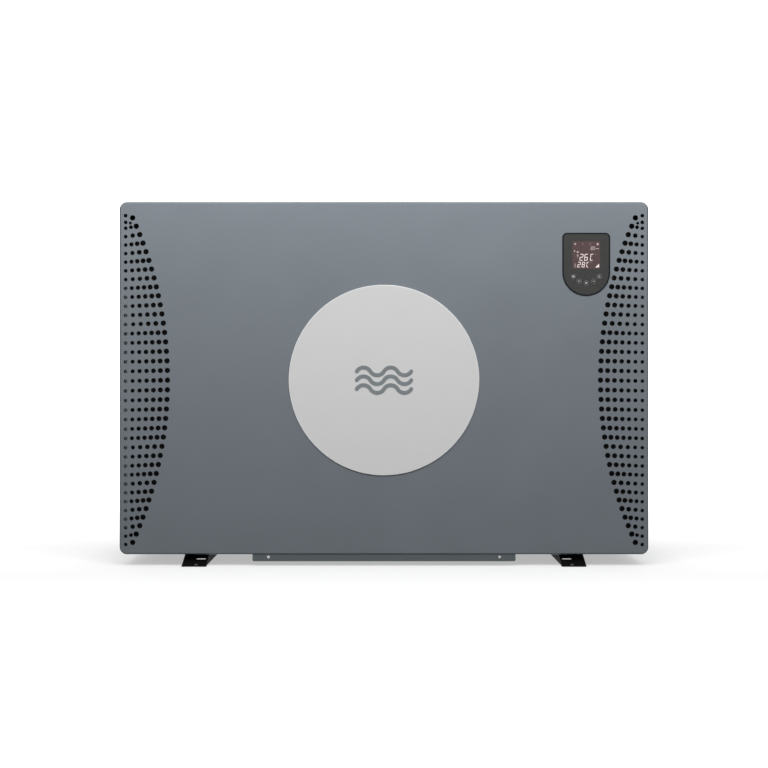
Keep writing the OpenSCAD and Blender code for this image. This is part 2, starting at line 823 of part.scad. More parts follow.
module fan_motor() color(dark_sheet) translate([0, motor_y, disc_z]) rotate([-90, 0, 0]) difference() {
    union() {
        rotate_extrude() {
            square([motor_r - 6, motor_d]);
            translate([0, 6]) square([motor_r, motor_d - 12]);
            translate([motor_r - 6, 6]) circle(r = 6);
            translate([motor_r - 6, motor_d - 6]) circle(r = 6);
        }
        translate([0, 0, -6]) cylinder(h = 8, r = 20);
        for (a = [45:90:315]) rotate(a) translate([motor_r - 2, -7, motor_d - 6]) cube([16, 14, 6]);
    }
    translate([0, 0, -7]) cylinder(h = 53, r = shaft_r + running / 2);
}

bracket_y = motor_y + motor_d;

module motor_bracket() color(galvanised) {
    wall_xz(bracket_y, 2) difference() {
        translate([-58, cab_bottom + panel_t + 2]) square([116, side_top + 18 - cab_bottom - panel_t]);
        for (side = [-1, 1], z = [120, 190, 480, 550])
            translate([side * 24, z]) stadium(30, 14);
    }
    for (side = [-1, 1])
        block([side * 57 - 1, bracket_y, cab_bottom + panel_t + 2],
              [side * 57 + 1, bracket_y + 18, side_top + 20]);
}

// ---- Evaporator ----

coil_left = -440;
coil_end = 205;
coil_front = deck_y + 28;
coil_bend = 60;
coil_low = 40;
coil_high = 640;
tube_rows = 12;
tube_pitch = 48;

module coil_outline() {
    centre = [coil_left + coil_bend, coil_back - coil_bend];
    translate([coil_left, coil_front]) square([coil_t, centre[1] - coil_front]);
    translate([centre[0], coil_back - coil_t]) square([coil_end - centre[0], coil_t]);
    translate(centre) intersection() {
        difference() {
            circle(r = coil_bend);
            circle(r = coil_bend - coil_t);
        }
        translate([-coil_bend, 0]) square(coil_bend);
    }
}

module evaporator_fins() color([0.72, 0.76, 0.8])
    translate([0, 0, coil_low]) linear_extrude(coil_high - coil_low) coil_outline();

module evaporator_plates() color(galvanised) {
    z0 = cab_bottom + panel_t + 4;
    block([coil_end, coil_back - coil_t - 6, z0], [coil_end + 1.5, coil_back + 4, coil_high + 10]);
    block([coil_left - 4, coil_front - 1.5, z0], [coil_left + coil_t + 6, coil_front, coil_high + 10]);
}

tube_r = 4.8;

// Half-round return bends at both ends of the coil, and the two header stubs.
module evaporator_tubes() color(copper) {
    for (row = [0:tube_rows - 1], side = [10, 30]) {
        z = coil_low + 24 + row * tube_pitch;
        translate([coil_end + 1.5, coil_back - side, z])
            multmatrix([[0, 1, 0, 0], [0, 0, 1, 0], [1, 0, 0, 0]]) half_bend();
        translate([coil_left + side, coil_front - 1.5, z])
            multmatrix([[0, 0, 1, 0], [0, -1, 0, 0], [1, 0, 0, 0]]) half_bend();
    }
    for (line = [gas_line, liquid_line]) rod_x(line[0], line[1], coil_end + 1.5, coil_end + 12, 6.35);
}

module half_bend() rotate_extrude(angle = 180) translate([12, 0]) circle(r = tube_r);

// ---- Refrigerant circuit ----

comp_x = 305;
comp_y = -58;
comp_r = 58;
comp_low = 50;
comp_high = 300;
foot_ring_r = 62;
acc_x = 425;
acc_r = 27;
valve_z = 400;
exch_y = 50;
exch_r = 75;

module compressor_shell() color(black_paint) {
    translate([comp_x, comp_y, 0]) {
        rotate_extrude() {
            translate([0, comp_low + 25]) square([comp_r, comp_high - comp_low - 45]);
            intersection() {
                translate([0, comp_low + 25]) circle(r = comp_r);
                translate([0, comp_low]) square([comp_r, 26]);
            }
            intersection() {
                translate([0, comp_high - 68]) circle(r = 74);
                translate([0, comp_high - 21]) square([comp_r, 30]);
            }
        }
        // Base triangle and terminal cap
        translate([0, 0, comp_low - 3]) linear_extrude(4) difference() {
            circle(r = foot_ring_r + 7);
            for (a = [90:120:330]) rotate(a) translate([foot_ring_r, 0]) circle(r = 5);
        }
        translate([0, 0, comp_high - 4]) cylinder(h = 24, r = 5);
        translate([0, 32, comp_high - 24]) cylinder(h = 36, r = 17);
    }
    rod_x(comp_y, 92, comp_x + comp_r - 3, comp_x + comp_r + 7, 6.35);
}

module compressor_feet() color(rubber_black) translate([comp_x, comp_y, 0])
    for (a = [90:120:330]) rotate(a) translate([foot_ring_r, 0, 0]) {
        translate([0, 0, cab_bottom + panel_t]) cylinder(h = comp_low - 3 - cab_bottom - panel_t, r = 11);
        translate([0, 0, comp_low - 3]) cylinder(h = 4, r = 5);
        translate([0, 0, comp_low + 1]) cylinder(h = 6, r = 6.4);
    }

module accumulator() color(black_paint) translate([acc_x, comp_y, 0]) {
    rotate_extrude() {
        translate([0, 140]) square([acc_r, 140]);
        for (z = [140, 280]) intersection() {
            translate([0, z]) circle(r = acc_r);
            translate([0, z - 30]) square([acc_r, 60]);
        }
    }
    translate([0, 0, 106]) cylinder(h = 20, r = 6.35);
    translate([0, 0, 300]) cylinder(h = 14, r = 6.35);
}

module four_way_valve() color([0.72, 0.6, 0.36]) {
    rod_x(comp_y, valve_z, 262, 385, 13);
    rod_z(305, comp_y, valve_z + 8, valve_z + 22, 5);
    for (x = [285, 325, 365]) rod_z(x, comp_y, valve_z - 22, valve_z - 8, x == 325 ? 6.35 : 5);
    // Pilot valve and its coil
    rod_x(comp_y - 26, valve_z + 8, 290, 360, 6);
    block([318, comp_y - 40, valve_z - 6], [346, comp_y - 12, valve_z + 22]);
}

module expansion_valve() color([0.72, 0.6, 0.36]) {
    rod_z(262, exch_y, 216, 250, 10);
    rod_z(262, exch_y, 250, 276, 17);
    rod_z(262, exch_y, 276, 282, 6.35);
}

module filter_drier() color(copper) translate([262, exch_y, 0]) rotate_extrude() {
    translate([0, 120]) square([15, 70]);
    translate([0, 108]) square([6.35, 94]);
    for (z = [120, 190]) intersection() {
        translate([0, z]) circle(r = 15);
        translate([0, z - 9]) square([15, 18]);
    }
}

// All the copper runs, each between the stubs of the parts it joins.
module refrigerant_pipes() color(copper) {
    top = comp_high + 20;
    // Discharge: compressor to the valve's upper port
    loop_y = comp_y - 52;
    pipe([[comp_x, comp_y, top], [comp_x, comp_y, 346], [comp_x, loop_y, 346], [comp_x, loop_y, 446],
          [comp_x, comp_y, 446], [comp_x, comp_y, valve_z + 22]], 5, 14);
    // Suction: valve to accumulator, and accumulator to compressor
    pipe([[325, comp_y, valve_z - 22], [325, comp_y, 350], [acc_x, comp_y, 350],
          [acc_x, comp_y, 314]], 6.35, 14);
    pipe([[acc_x, comp_y, 106], [acc_x, comp_y, 92], [comp_x + comp_r + 7, comp_y, 92]], 6.35, 13.5);
    // Hot gas to the heat exchanger
    pipe([[365, comp_y, valve_z - 22], [365, comp_y, 367.5], [union_x, comp_y, 367.5],
          [union_x, exch_y - exch_r - 6, 367.5]], 5, 10);
    // Gas line to the evaporator
    pipe([[285, comp_y, valve_z - 22], [285, comp_y, gas_line[1]], [285, gas_line[0], gas_line[1]],
          [coil_end + 12, gas_line[0], gas_line[1]]], 5, 13);
    // Liquid line: heat exchanger, drier, expansion valve, evaporator
    pipe([[union_x - exch_r - 6, exch_y, 90], [262, exch_y, 90], [262, exch_y, 108]], 5, 14);
    pipe_straight([262, exch_y, 202], [262, exch_y, 216], 5);
    pipe([[262, exch_y, 282], [262, exch_y, liquid_line[1]], [262, liquid_line[0], liquid_line[1]],
          [coil_end + 12, liquid_line[0], liquid_line[1]]], 5, 13);
}

// ---- Water side ----

exch_low = 60;
exch_top = 430;
wall_t = 6;
skirt_r = 44;
lid_r = 81;
lid_bolt_r = 77;
collar_y = rear_y + 20;

module exchanger_shell() color(pool_white) difference() {
    union() {
        translate([union_x, exch_y, 0]) rotate_extrude($fn = 96) {
            translate([0, exch_low]) square([exch_r, exch_top - exch_low]);
            translate([0, exch_top - 12]) square([lid_r, 12]);
            translate([0, cab_bottom + panel_t]) square([skirt_r, exch_low]);
        }
        for (z = [inlet_z, outlet_z]) {
            rod_y(union_x, z, exch_y, rear_y - 10, 30);
            rod_y(union_x, z, rear_y - 10, collar_y, collar_r);
        }
        // Gas and liquid stubs
        rod_y(union_x, 367.5, exch_y - exch_r - 6, exch_y, 5);
        rod_x(exch_y, 90, union_x - exch_r - 6, union_x, 5);
    }
    rod_z(union_x, exch_y, exch_low + wall_t, exch_top + 1, exch_r - wall_t);
    rod_z(union_x, exch_y, 0, exch_low, skirt_r - wall_t);
    for (z = [inlet_z, outlet_z]) rod_y(union_x, z, exch_y, collar_y + 1, 22);
}

module exchanger_lid() color(black_plastic) translate([union_x, exch_y, 0]) difference() {
    rotate_extrude($fn = 96) {
        translate([0, exch_top]) square([lid_r, 10]);
        intersection() {
            translate([0, exch_top - 40]) circle(r = 70);
            translate([0, exch_top + 9]) square([60, 30]);
        }
    }
    for (a = [0:45:315]) rotate(a) translate([lid_bolt_r, 0, exch_top + 7]) cylinder(h = 5, r = 3);
    translate([0, 0, exch_top - 1]) cylinder(h = 60, r = 8);
}

coil_turns = 16;

// The coil of titanium tube, drawn as one ring a turn with a riser that joins them.
module titanium_coil() color(galvanised) translate([union_x, exch_y, 0]) {
    for (turn = [0:coil_turns - 1]) translate([0, 0, 96 + turn * 18])
        rotate_extrude() translate([50, 0]) circle(r = 6);
    rod_z(-50, 0, 96, 96 + (coil_turns - 1) * 18, 4);
}

module flow_switch() color(black_plastic) translate([union_x, exch_y, 0]) {
    translate([0, 0, exch_top - 20]) cylinder(h = 50, r = 8);
    translate([0, 0, exch_top + 30]) cylinder(h = 6, r = 14, $fn = 6);
    block([-16, -12, exch_top + 36], [16, 12, exch_top + 66]);
}

tail_y = collar_y + 2;
union_back = rear_y + union_reach;
flange_d = 6;

module union_tails() color(pool_white) for (z = [inlet_z, outlet_z]) difference() {
    union() {
        rod_y(union_x, z, tail_y, tail_y + flange_d, collar_r);
        rod_y(union_x, z, tail_y + flange_d, union_back, pipe_r + 5.5);
    }
    rod_y(union_x, z, tail_y - 1, union_back + 1, 22);
    rod_y(union_x, z, tail_y + 2, union_back + 1, pipe_r);
}

module union_gaskets() color(rubber_black) for (z = [inlet_z, outlet_z]) difference() {
    rod_y(union_x, z, collar_y, tail_y, collar_r - 2);
    rod_y(union_x, z, collar_y - 1, tail_y + 1, 23);
}

nut_y = rear_y + 4;
nut_lip_y = tail_y + flange_d + gap;
nut_back = nut_lip_y + 9;
nut_r = 42;
nut_ribs = 20;

// A ribbed hand nut, captive on the tail's flange and turning on the port's collar.
module union_nut(z) color(black_plastic) translate([union_x, 0, z]) difference() {
    union() {
        wall_xz(nut_y, nut_back - nut_y - 3) {
            circle(r = nut_r, $fn = 96);
            for (i = [0:nut_ribs - 1]) rotate(i * 360 / nut_ribs) translate([nut_r - 0.5, 0]) circle(r = 2.6);
        }
        rod_y(0, 0, nut_back - 3, nut_back, nut_r - 1.5);
    }
    rod_y(0, 0, nut_y - 1, nut_lip_y, collar_r + running);
    rod_y(0, 0, nut_lip_y - 1, nut_back + 1, pipe_r + 5.5 + gap);
}

// ---- Electrical ----

box_x = [partition_x + sheet_t, 446];
box_y = [deck_y + 6, rear_y - 16];
box_z = [505, 650];
box_t = 1.2;

module electrical_box() color(galvanised) difference() {
    block([box_x[0], box_y[0], box_z[0]], [box_x[1], box_y[1], box_z[1]]);
    block([box_x[0] + box_t, box_y[0] + box_t, box_z[0] + box_t],
          [box_x[1] - box_t, box_y[1] - box_t, box_z[1] + 1]);
    block([box_x[0] - 1, sink_window[0][0], sink_window[0][1]],
          [box_x[0] + 3, sink_window[1][0], sink_window[1][1]]);
    // Wire entries
    for (y = [-80, -40]) rod_z(425, y, box_z[0] - 1, box_z[0] + 3, 10);
}

module electrical_lid() color(galvanised)
    block([box_x[0], box_y[0], box_z[1]], [box_x[1], box_y[1], box_z[1] + box_t]);

sink_x = box_x[0] + box_t;

module heat_sink() color(galvanised) {
    block([sink_x, sink_window[0][0] - 6, sink_window[0][1] - 6],
          [sink_x + 6, sink_window[1][0] + 6, sink_window[1][1] + 6]);
    block([partition_x - 2, sink_window[0][0], sink_window[0][1]],
          [sink_x + 1, sink_window[1][0], sink_window[1][1]]);
    for (i = [0:13])
        block([partition_x - 32, sink_window[0][0] + 4 + i * 10, sink_window[0][1]],
              [partition_x - 1, sink_window[0][0] + 6 + i * 10, sink_window[1][1]]);
}

// Inverter board with its capacitors, choke and terminal block, on the box's standoffs.
module inverter_board() color([0.1, 0.32, 0.2]) {
    board_x = sink_x + 14;
    block([board_x, -90, 515], [board_x + 1.6, 110, 640]);
    for (z = [540, 575, 610]) rod_x(80, z, board_x + 1.6, board_x + 46, 15);
    for (y = [-40, 10]) block([sink_x + 6, y - 12, 545], [board_x, y + 12, 600]);
    block([board_x + 1.6, -80, 530], [board_x + 30, -30, 600]);
    // Choke and terminal block on the floor of the box
    block([330, -100, box_z[0] + box_t], [400, -40, box_z[0] + 61]);
    block([412, 30, box_z[0] + box_t], [436, 110, box_z[0] + 30]);
}

gland_back = rear_y + 26;
gland_bore = 6.5;

module cable_glands() color(black_plastic) for (x = gland_x) difference() {
    union() {
        rod_y(x, gland_z, rear_y - 9, gland_back - 2, gland_r);
        translate([x, rear_y, gland_z]) rotate([-90, 0, 0]) cylinder(h = 7, r = 16, $fn = 6);
        rod_y(x, gland_z, rear_y + 7, gland_back - 4, 13.5);
        rod_y(x, gland_z, gland_back - 4, gland_back, 11);
        translate([x, rear_y - 6.5, gland_z]) rotate([-90, 0, 0]) cylinder(h = 5, r = 16, $fn = 6);
    }
    rod_y(x, gland_z, rear_y - 10, gland_back + 1, gland_bore);
}

front_panel();
badge_disc();
wave_mark();
front_strip();
strip_screws();
top_cover();
left_side_panel();
right_side_panel();
terminal_cover();
side_handles();
rear_grille();
rear_service_panel();
cabinet_screws();
corner_post();
base_pan();
drain_nozzle();
foot_rail_left();
foot_rail_right();
foot_pads();
foot_bolts();
partition_plate();
fan_deck();
control_bezel();
control_face();
control_housing();
display_module();
control_board();
key(1);  // key_1
key(2);  // key_2
key(3);  // key_3
key(4);  // key_4
key(5);  // key_5
fan_blades();
fan_nut();
motor_shaft();
fan_motor();
motor_bracket();
evaporator_fins();
evaporator_plates();
evaporator_tubes();
compressor_shell();
compressor_feet();
accumulator();
four_way_valve();
expansion_valve();
filter_drier();
refrigerant_pipes();
exchanger_shell();
exchanger_lid();
titanium_coil();
flow_switch();
union_tails();
union_nut(inlet_z);  // inlet_union_nut
union_nut(outlet_z);  // outlet_union_nut
union_gaskets();
electrical_box();
electrical_lid();
inverter_board();
heat_sink();
cable_glands();
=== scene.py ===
import json
import math

import bmesh
import bpy
from mathutils import Matrix, Vector


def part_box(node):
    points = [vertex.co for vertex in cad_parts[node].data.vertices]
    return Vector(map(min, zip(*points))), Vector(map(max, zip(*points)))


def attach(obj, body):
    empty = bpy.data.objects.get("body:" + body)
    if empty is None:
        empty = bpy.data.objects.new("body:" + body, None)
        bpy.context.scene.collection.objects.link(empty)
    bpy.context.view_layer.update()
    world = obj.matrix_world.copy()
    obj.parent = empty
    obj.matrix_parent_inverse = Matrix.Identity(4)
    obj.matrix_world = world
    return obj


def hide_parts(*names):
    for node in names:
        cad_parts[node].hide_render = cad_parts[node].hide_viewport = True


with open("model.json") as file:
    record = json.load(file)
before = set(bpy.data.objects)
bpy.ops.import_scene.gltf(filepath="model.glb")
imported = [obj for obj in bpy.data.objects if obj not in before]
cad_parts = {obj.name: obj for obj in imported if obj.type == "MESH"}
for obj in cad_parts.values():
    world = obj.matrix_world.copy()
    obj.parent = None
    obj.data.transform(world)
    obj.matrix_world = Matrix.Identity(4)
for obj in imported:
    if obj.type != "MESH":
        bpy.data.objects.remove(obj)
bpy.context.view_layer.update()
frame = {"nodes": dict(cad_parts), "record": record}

MM = 0.001
CABINET = "cabinet"


# ---- Places, from the frame ----

panel_low, panel_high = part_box("front_panel")
disc_low, disc_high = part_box("badge_disc")
window_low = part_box("display_module")[0]
fins_low, fins_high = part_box("evaporator_fins")
grille_low, grille_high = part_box("rear_grille")
FACE_Y = panel_low.y


# ---- Node materials ----

# Nearly all of a noise's values lie between these
NOISE_SPAN = 0.3, 0.7


class Surface:
    """A Principled material, with short ways to add the nodes that give it its detail."""

    def __init__(self, name, colour, roughness, metallic=0.0, **constants):
        self.material = bpy.data.materials.new(name)
        self.material.use_nodes = True
        self.tree = self.material.node_tree
        self.shader = self.tree.nodes["Principled BSDF"]
        self.colour = colour
        self.roughness = roughness
        self.shader.inputs["Base Color"].default_value = (*colour, 1)
        self.shader.inputs["Roughness"].default_value = roughness
        self.shader.inputs["Metallic"].default_value = metallic
        for socket, value in constants.items():
            self.shader.inputs[socket.replace("_", " ")].default_value = value
        self.place = self.tree.nodes.new("ShaderNodeTexCoord").outputs["Object"]
        self.height = None

    def add(self, kind, **settings):
        made = self.tree.nodes.new(kind)
        for name, value in settings.items():
            setattr(made, name, value)
        return made

    def link(self, output, target):
        self.tree.links.new(output, target)

    def stretched(self, scale):
        """Object coordinates, stretched: a small number makes long streaks along that axis."""
        mapping = self.add("ShaderNodeMapping")
        mapping.inputs["Scale"].default_value = scale
        self.link(self.place, mapping.inputs["Vector"])
        return mapping.outputs["Vector"]

    def noise(self, scale, detail, place=None):
        made = self.add("ShaderNodeTexNoise")
        made.inputs["Scale"].default_value = scale
        made.inputs["Detail"].default_value = detail
        self.link(place or self.place, made.inputs["Vector"])
        return made.outputs["Fac"]

    def split_place(self):
        """The outputs X, Y and Z of the place."""
        made = self.add("ShaderNodeSeparateXYZ")
        self.link(self.place, made.inputs["Vector"])
        return made.outputs

    def range(self, value, low, high, to_low=0.0, to_high=1.0):
        """Maps low to high onto to_low to to_high, and holds the ends."""
        made = self.add("ShaderNodeMapRange")
        ends = {"From Min": low, "From Max": high, "To Min": to_low, "To Max": to_high}
        for socket, number in ends.items():
            made.inputs[socket].default_value = number
        self.link(value, made.inputs["Value"])
        return made.outputs["Result"]

    def math(self, operation, a, b=0.0):
        made = self.add("ShaderNodeMath", operation=operation)
        for socket, value in zip(made.inputs, (a, b)):
            if isinstance(value, (int, float)):
                socket.default_value = value
            else:
                self.link(value, socket)
        return made.outputs["Value"]

    def blend(self, share, low, high):
        """Mixes two colours; each is a tuple or another node's colour."""
        made = self.add("ShaderNodeMix", data_type="RGBA")
        for socket, value in ((made.inputs[6], low), (made.inputs[7], high)):
            if isinstance(value, tuple):
                socket.default_value = (*value, 1)
            else:
                self.link(value, socket)
        self.link(share, made.inputs[0])
        return made.outputs[2]

    def shade(self, colour, share):
        """A colour output, made darker by a share output."""
        made = self.add("ShaderNodeVectorMath", operation="SCALE")
        self.link(colour, made.inputs[0])
        self.link(share, made.inputs["Scale"])
        return made.outputs["Vector"]

    def paint_with(self, colour):
        self.link(colour, self.shader.inputs["Base Color"])

    def fed_by(self, socket):
        """The output that feeds one of the shader's sockets so far."""
        return self.shader.inputs[socket].links[0].from_socket

    def mottle(self, share, scale):
        """Colour that drifts lighter and darker by share."""
        low = tuple(c * (1 - share) for c in self.colour)
        high = tuple(c * (1 + share) for c in self.colour)
        self.paint_with(self.blend(self.range(self.noise(scale, 4), *NOISE_SPAN), low, high))

    def patchy_gloss(self, spread, scale):
        """Roughness that drifts up and down by spread."""
        low, high = self.roughness - spread, self.roughness + spread
        gloss = self.range(self.noise(scale, 3), *NOISE_SPAN, low, high)
        self.link(gloss, self.shader.inputs["Roughness"])

    def bump(self, height, strength, depth):
        """Adds a relief, on top of any before it. Depth is in metres."""
        made = self.add("ShaderNodeBump")
        made.inputs["Strength"].default_value = strength
        made.inputs["Distance"].default_value = depth
        self.link(height, made.inputs["Height"])
        if self.height is not None:
            self.link(self.height, made.inputs["Normal"])
        self.height = made.outputs["Normal"]
        self.link(self.height, self.shader.inputs["Normal"])


def powder_coat(name, colour, roughness, metallic=0.0, **constants):
    """Sprayed paint: fine orange peel, faint drift in tone and gloss."""
    made = Surface(name, colour, roughness, metallic, **constants)
    made.mottle(0.018, 6)
    made.patchy_gloss(0.02, 14)
    made.bump(made.noise(700, 2), 0.12, 0.00008)
    made.bump(made.noise(160, 2), 0.06, 0.00012)
    return made


def moulded(name, colour, roughness, tone=0.04, grain=0.2, **constants):
    """Moulded plastic with a fine spark-eroded grain; tone is how far its colour drifts."""
    made = Surface(name, colour, roughness, **constants)
    made.mottle(tone, 20)
    made.patchy_gloss(0.05, 60)
    made.bump(made.noise(1800, 3), grain, 0.00006)
    return made


def galvanised(name, colour):
    """Zinc-coated sheet with its spangle and a few dull patches."""
    made = Surface(name, colour, 0.4, 0.85)
    spangle = made.add("ShaderNodeTexVoronoi")
    spangle.inputs["Scale"].default_value = 90
    made.link(made.place, spangle.inputs["Vector"])
    tone = made.add("ShaderNodeSeparateColor")
    made.link(spangle.outputs["Color"], tone.inputs["Color"])
    dull = tuple(c * 0.72 for c in colour)
    made.paint_with(made.blend(tone.outputs["Red"], dull, colour))
    made.link(made.range(tone.outputs["Green"], 0, 1, 0.32, 0.52), made.shader.inputs["Roughness"])
    made.bump(made.noise(400, 2), 0.1, 0.00005)
    return made


def drawn_metal(name, colour, roughness, streaks=(20, 20, 900), tarnish=0.25, metallic=1.0):
    """Metal with drawing or brushing lines and a little tarnish."""
    made = Surface(name, colour, roughness, metallic)
    lines = made.noise(1.0, 2, place=made.stretched(streaks))
    dark = tuple(c * (1 - tarnish) for c in colour)
    made.paint_with(made.blend(made.range(made.noise(30, 5), 0.35, 0.7), colour, dark))
    gloss = made.range(lines, *NOISE_SPAN, roughness * 0.8, roughness * 1.35)
    made.link(gloss, made.shader.inputs["Roughness"])
    made.bump(lines, 0.15, 0.00004)
    return made


# How far back the painted shade reaches on the side flanges
PAINTED_SHADE_DEPTH = 6 * MM
EDGE_DULLING = 0.4
SKIN = 0.3 * MM, 0.6 * MM


def paint_with_painted_edge_shade(name, colour, roughness, metallic, low, high, band, share, **constants):
    """Powder coat with painted shade: darker and duller in a band along the rounded edge of a front face.

    The face reaches from low to high; share is what is left of its colour at the very edge.
    """
    made = powder_coat(name, colour, roughness, metallic, **constants)
    place = made.split_place()
    across = made.math("SUBTRACT", (high.x - low.x) / 2, made.math("ABSOLUTE", place["X"]))
    above = made.math("SUBTRACT", high.z, place["Z"])
    nearest = made.math("MINIMUM", across, above)
    behind = made.range(place["Y"], low.y + PAINTED_SHADE_DEPTH, low.y + 1.5 * PAINTED_SHADE_DEPTH)
    outside = made.range(nearest, *SKIN, 1.0, 0.0)
    behind = made.math("MULTIPLY", behind, outside)
    # Painted shade: what is left of the colour, darkest at the rounded edge and on the front of the flange
    edge = made.math("MAXIMUM", made.range(nearest, 0.0, band, share, 1.0), behind)
    made.paint_with(made.shade(made.fed_by("Base Color"), edge))
    dull = made.range(edge, share, 1.0, EDGE_DULLING, 0.0)
    made.link(made.math("ADD", made.fed_by("Roughness"), dull), made.shader.inputs["Roughness"])
    return made


def plastic_with_painted_rim_highlight(name, colour, highlight_colour, centre, radius, band, roughness, **constants):
    """Moulded plastic with a painted highlight: its rim is lighter, outside a radius about centre."""
    made = moulded(name, colour, roughness, **constants)
    shift = made.add("ShaderNodeVectorMath", operation="SUBTRACT")
    made.link(made.place, shift.inputs[0])
    shift.inputs[1].default_value = centre
    flat = made.add("ShaderNodeVectorMath", operation="MULTIPLY")
    made.link(shift.outputs["Vector"], flat.inputs[0])
    flat.inputs[1].default_value = (1, 0, 1)
    length = made.add("ShaderNodeVectorMath", operation="LENGTH")
    made.link(flat.outputs["Vector"], length.inputs[0])
    # Painted highlight: the rim is lightened as though its rounded edge caught the light
    rim = made.range(length.outputs["Value"], radius - band, radius - 0.3 * band)
    made.paint_with(made.blend(rim, made.fed_by("Base Color"), highlight_colour))
    return made


def circuit_board(name):
    """Green solder mask with copper tracks under it."""
    made = Surface(name, (0.015, 0.1, 0.045), 0.35)
    tracks = made.add("ShaderNodeTexBrick")
    tracks.inputs["Scale"].default_value = 160
    tracks.inputs["Mortar Size"].default_value = 0.06
    tracks.inputs["Color1"].default_value = (0.012, 0.085, 0.04, 1)
    tracks.inputs["Color2"].default_value = (0.02, 0.12, 0.05, 1)
    tracks.inputs["Mortar"].default_value = (0.05, 0.24, 0.09, 1)
    made.link(made.place, tracks.inputs["Vector"])
    made.paint_with(tracks.outputs["Color"])
    made.bump(tracks.outputs["Fac"], 0.3, 0.00005)
    return made


def lit(name, colour, strength):
    """A printed or lit segment of the display."""
    made = Surface(name, colour, 0.4)
    made.shader.inputs["Emission Color"].default_value = (*colour, 1)
    made.shader.inputs["Emission Strength"].default_value = strength
    made.mottle(0.04, 400)
    return made


PANEL_GREY = (0.203, 0.229, 0.254)
panel_paint = powder_coat("panel_paint", PANEL_GREY, 0.35, 0.55, Specular_IOR_Level=0.3)
# The front panel's paint is darkened along its rounded edges as painted shade
front_paint_painted_edge_shade = paint_with_painted_edge_shade("front_panel_paint_painted_edge_shade", PANEL_GREY, 0.35, 0.55, panel_low, panel_high,
                          band=3.3 * MM, share=0.12, Specular_IOR_Level=0.3)
# Painted shade: the strip is the panel's grey made darker, for the shade it sits in under the panel
strip_paint = powder_coat("strip_paint", (0.080, 0.094, 0.102), 0.5)
black_paint = powder_coat("black_paint", (0.004, 0.004, 0.004), 0.42, Specular_IOR_Level=0.35)
rail_paint = powder_coat("rail_paint", (0.0035, 0.0035, 0.0036), 0.7, Specular_IOR_Level=0.06)
grille_paint = powder_coat("grille_paint", (0.05, 0.055, 0.06), 0.45)
motor_paint = powder_coat("motor_paint", (0.06, 0.065, 0.07), 0.45)
# The disc's rim is lightened as a painted highlight
disc_plastic = plastic_with_painted_rim_highlight("disc_plastic", (0.565, 0.565, 0.565), (0.72, 0.72, 0.72),
                              centre=(disc_low + disc_high) / 2, radius=(disc_high.x - disc_low.x) / 2,
                              band=1.6 * MM, roughness=0.42, tone=0.006)
mark_ink = moulded("mark_ink", (0.17, 0.19, 0.20), 0.45)
black_plastic = moulded("black_plastic", (0.018, 0.018, 0.019), 0.5)
bezel_plastic = moulded("bezel_plastic", (0.006, 0.009, 0.011), 0.4, Specular_IOR_Level=0.15)
FACE_GREY = (0.037, 0.037, 0.036)
face_plastic = moulded("face_plastic", FACE_GREY, 0.3, tone=0.02, grain=0.03, Specular_IOR_Level=0.33)
key_plastic = moulded("key_plastic", FACE_GREY, 0.3, tone=0.02, grain=0.03, Specular_IOR_Level=0.33)
fan_plastic = moulded("fan_plastic", (0.014, 0.014, 0.015), 0.42)
nut_plastic = moulded("nut_plastic", (0.02, 0.021, 0.023), 0.42)
pvc_white = moulded("pvc_white", (0.72, 0.73, 0.73), 0.3)
rubber = moulded("rubber", (0.006, 0.006, 0.006), 0.7)
display_glass = moulded("display_glass", (0.084, 0.052, 0.053), 0.25, Specular_IOR_Level=0.3)
zinc_plate = drawn_metal("zinc_plate", (0.72, 0.73, 0.74), 0.3, tarnish=0.1)
bright_zinc = drawn_metal("bright_zinc", (0.68, 0.68, 0.66), 0.5, metallic=0.1)
aluminium = drawn_metal("aluminium", (0.68, 0.69, 0.7), 0.34)
titanium = drawn_metal("titanium", (0.42, 0.4, 0.38), 0.36)
copper = drawn_metal("copper", (0.72, 0.32, 0.17), 0.3, tarnish=0.45)
brass = drawn_metal("brass", (0.68, 0.5, 0.22), 0.28)
zinc_sheet = galvanised("zinc_sheet", (0.6, 0.62, 0.64))
board = circuit_board("board")
coil_blue = drawn_metal("coil_blue", (0.72, 0.80, 0.85), 0.42, streaks=(900, 900, 40), tarnish=0.08,
                        metallic=0.2)
glyph_white = lit("glyph_white", (0.84, 0.73, 0.72), 0.12)
glyph_soft = lit("glyph_soft", (0.50, 0.40, 0.39), 0.08)
glyph_faint = lit("glyph_faint", (0.33, 0.25, 0.24), 0.05)
glyph_unlit = lit("glyph_unlit", (0.15, 0.105, 0.105), 0.0)
ring_grey = moulded("ring_grey", (0.19, 0.19, 0.19), 0.45)
sign_grey = moulded("sign_grey", (0.55, 0.55, 0.55), 0.45)
rubber_grey = moulded("rubber_grey", (0.035, 0.035, 0.035), 0.7)

# Nodes that look different from the rest of their slot; the front panel's paint has painted shade along its
# edges
NODE_SURFACES = {"front_panel": front_paint_painted_edge_shade, "foot_rail_left": rail_paint, "foot_rail_right": rail_paint,
                 "strip_screws": bright_zinc}
SLOT_SURFACES = {
    "panel_paint": panel_paint, "strip_paint": strip_paint, "black_paint": black_paint,
    "grille_wire": grille_paint, "motor_paint": motor_paint, "disc_plastic": disc_plastic,
    "mark_ink": mark_ink, "black_plastic": black_plastic, "bezel_plastic": bezel_plastic,
    "face_plastic": face_plastic, "key_plastic": key_plastic, "fan_plastic": fan_plastic,
    "nut_plastic": nut_plastic, "pvc_white": pvc_white, "rubber": rubber,
    "display_glass": display_glass, "zinc": zinc_plate, "aluminium": aluminium,
    "titanium": titanium, "copper": copper, "brass": brass, "galvanised": zinc_sheet,
    "board": board, "coil_fins": coil_blue,
}


# ---- CAD nodes: smooth shading, softened edges and their materials ----

